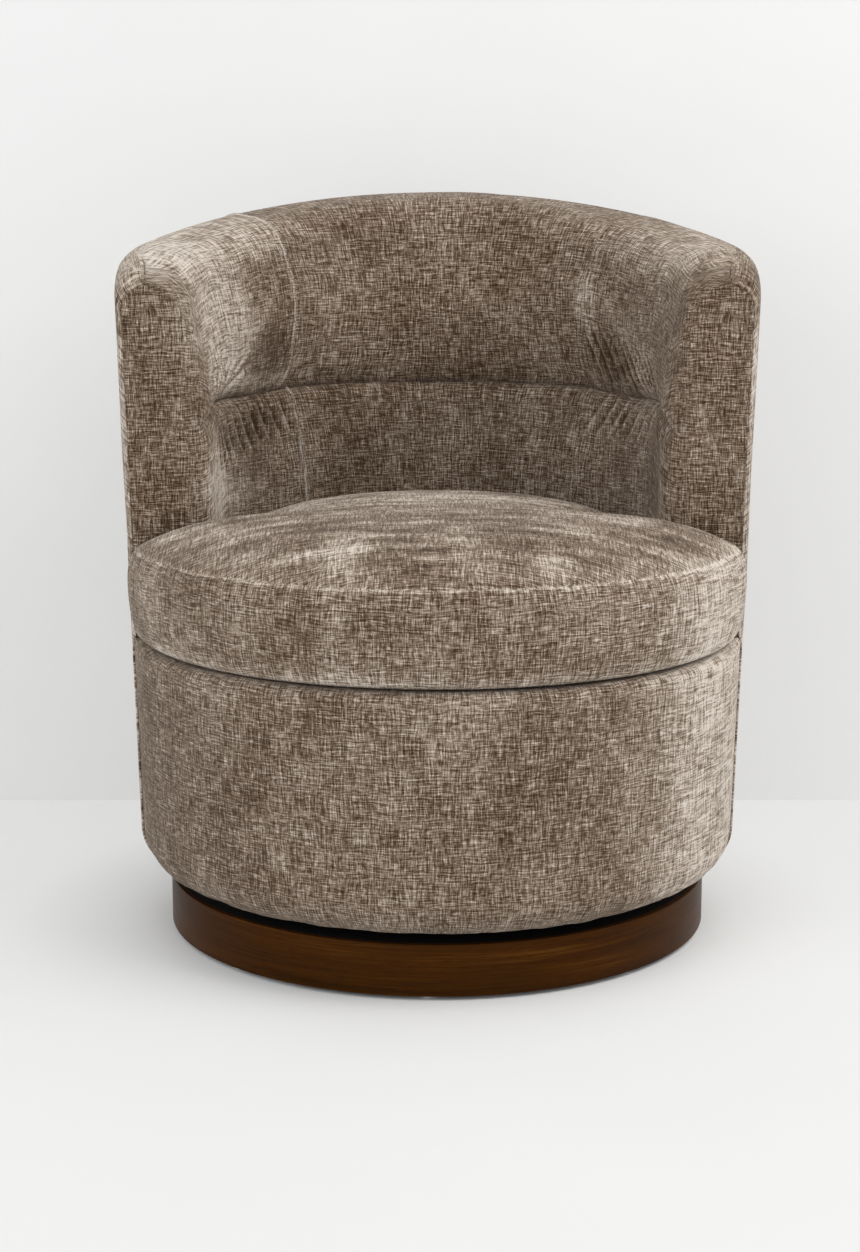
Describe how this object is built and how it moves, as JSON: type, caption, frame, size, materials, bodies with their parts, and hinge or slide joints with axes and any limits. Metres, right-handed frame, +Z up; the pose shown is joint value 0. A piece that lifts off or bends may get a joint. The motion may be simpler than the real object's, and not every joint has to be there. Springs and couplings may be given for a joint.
{
  "type": "swivel tub chair",
  "caption": "Upholstered barrel armchair with a channelled curved back, rolled-in arms and a loose crowned seat cushion, on a skirted drum that swivels on a round wooden plinth.",
  "frame": {"origin": "on the floor, on the swivel axis, which is the middle of the chair's box to under a millimetre", "axes": "+Z up, -Y the way the chair faces, +X to the right in the picture"},
  "size_m": [0.692, 0.6905, 0.804],
  "materials": {
    "walnut": "dark stained, satin lacquer",
    "black_paint": "matt black painted board",
    "nylon": "moulded white nylon",
    "pressed_steel": "pressed, lightly oiled",
    "zinc_plate": "bright zinc plated",
    "plywood": "raw birch plywood",
    "fibreboard": "raw thin fibreboard",
    "cambric": "black nonwoven dust cloth",
    "chenille": "taupe brushed chenille with a slubby cross weave",
    "foam": "open-cell polyurethane foam",
    "webbing": "woven elastic webbing",
    "platform_cloth": "plain platform cloth over thin padding",
    "zip_tape": "coil zip on woven tape"
  },
  "bodies": {
    "plinth": {"plinth_band": "walnut", "plinth_core_ring": "black_paint", "plinth_top_board": "black_paint", "glide_1": "nylon", "glide_2": "nylon", "glide_3": "nylon", "glide_4": "nylon", "glide_5": "nylon", "glide_6": "nylon", "glide_7": "nylon", "glide_8": "nylon", "swivel_lower_plate": "pressed_steel", "swivel_pivot": "zinc_plate", "lower_plate_screw_1": "zinc_plate", "lower_plate_screw_2": "zinc_plate", "lower_plate_screw_3": "zinc_plate", "lower_plate_screw_4": "zinc_plate"},
    "ball_cage": {"swivel_ball_cage": "pressed_steel"},
    "seat": {"swivel_upper_plate": "pressed_steel", "upper_plate_bolt_1": "zinc_plate", "upper_plate_bolt_2": "zinc_plate", "upper_plate_bolt_3": "zinc_plate", "upper_plate_bolt_4": "zinc_plate", "base_board": "plywood", "dust_cover": "cambric", "drum_post_1": "plywood", "drum_post_2": "plywood", "drum_post_3": "plywood", "drum_post_4": "plywood", "seat_ring": "plywood", "drum_skin_board": "fibreboard", "drum_padding": "foam", "front_edge_pad": "foam", "drum_front_cover": "chenille", "web_strap_lengthwise_1": "webbing", "web_strap_lengthwise_2": "webbing", "web_strap_crosswise_1": "webbing", "web_strap_crosswise_2": "webbing", "deck_pad": "platform_cloth", "tub_lower_rail": "plywood", "tub_top_rail": "plywood", "tub_upright_1": "plywood", "tub_upright_2": "plywood", "tub_upright_3": "plywood", "tub_skin_board": "fibreboard", "tub_inner_board": "fibreboard", "arm_stump_left": "plywood", "arm_stump_right": "plywood", "lower_foam_roll": "foam", "upper_foam_roll": "foam", "arm_front_pad_left": "foam", "arm_front_pad_right": "foam", "outside_cover": "chenille", "inside_back_cover": "chenille", "arm_cover_left": "chenille", "arm_cover_right": "chenille"},
    "cushion": {"cushion_cover": "chenille", "cushion_foam": "foam", "cushion_zip": "zip_tape"},
    "zip_slider": {"zip_slider": "zinc_plate"}
  },
  "joints": [
    {"name": "seat_swivel", "type": "hinge", "parent": "plinth", "child": "seat", "pos_m": [0, 0, 0], "axis": [0, 0, 1], "continuous": true},
    {"name": "cage_spin", "type": "hinge", "parent": "plinth", "child": "ball_cage", "pos_m": [0, 0, 0], "axis": [0, 0, 1], "continuous": true},
    {"name": "cushion_lift", "type": "slide", "parent": "seat", "child": "cushion", "axis": [0, 0, 1], "range_m": [0, 0.15]},
    {"name": "zip_slide", "type": "hinge", "parent": "cushion", "child": "zip_slider", "pos_m": [0, 0, 0], "axis": [0, 0, -1], "range_deg": [0, 70]}
  ],
  "couplings": [
    {"joint": "cage_spin", "follows": "seat_swivel", "ratio": 0.5}
  ]
}
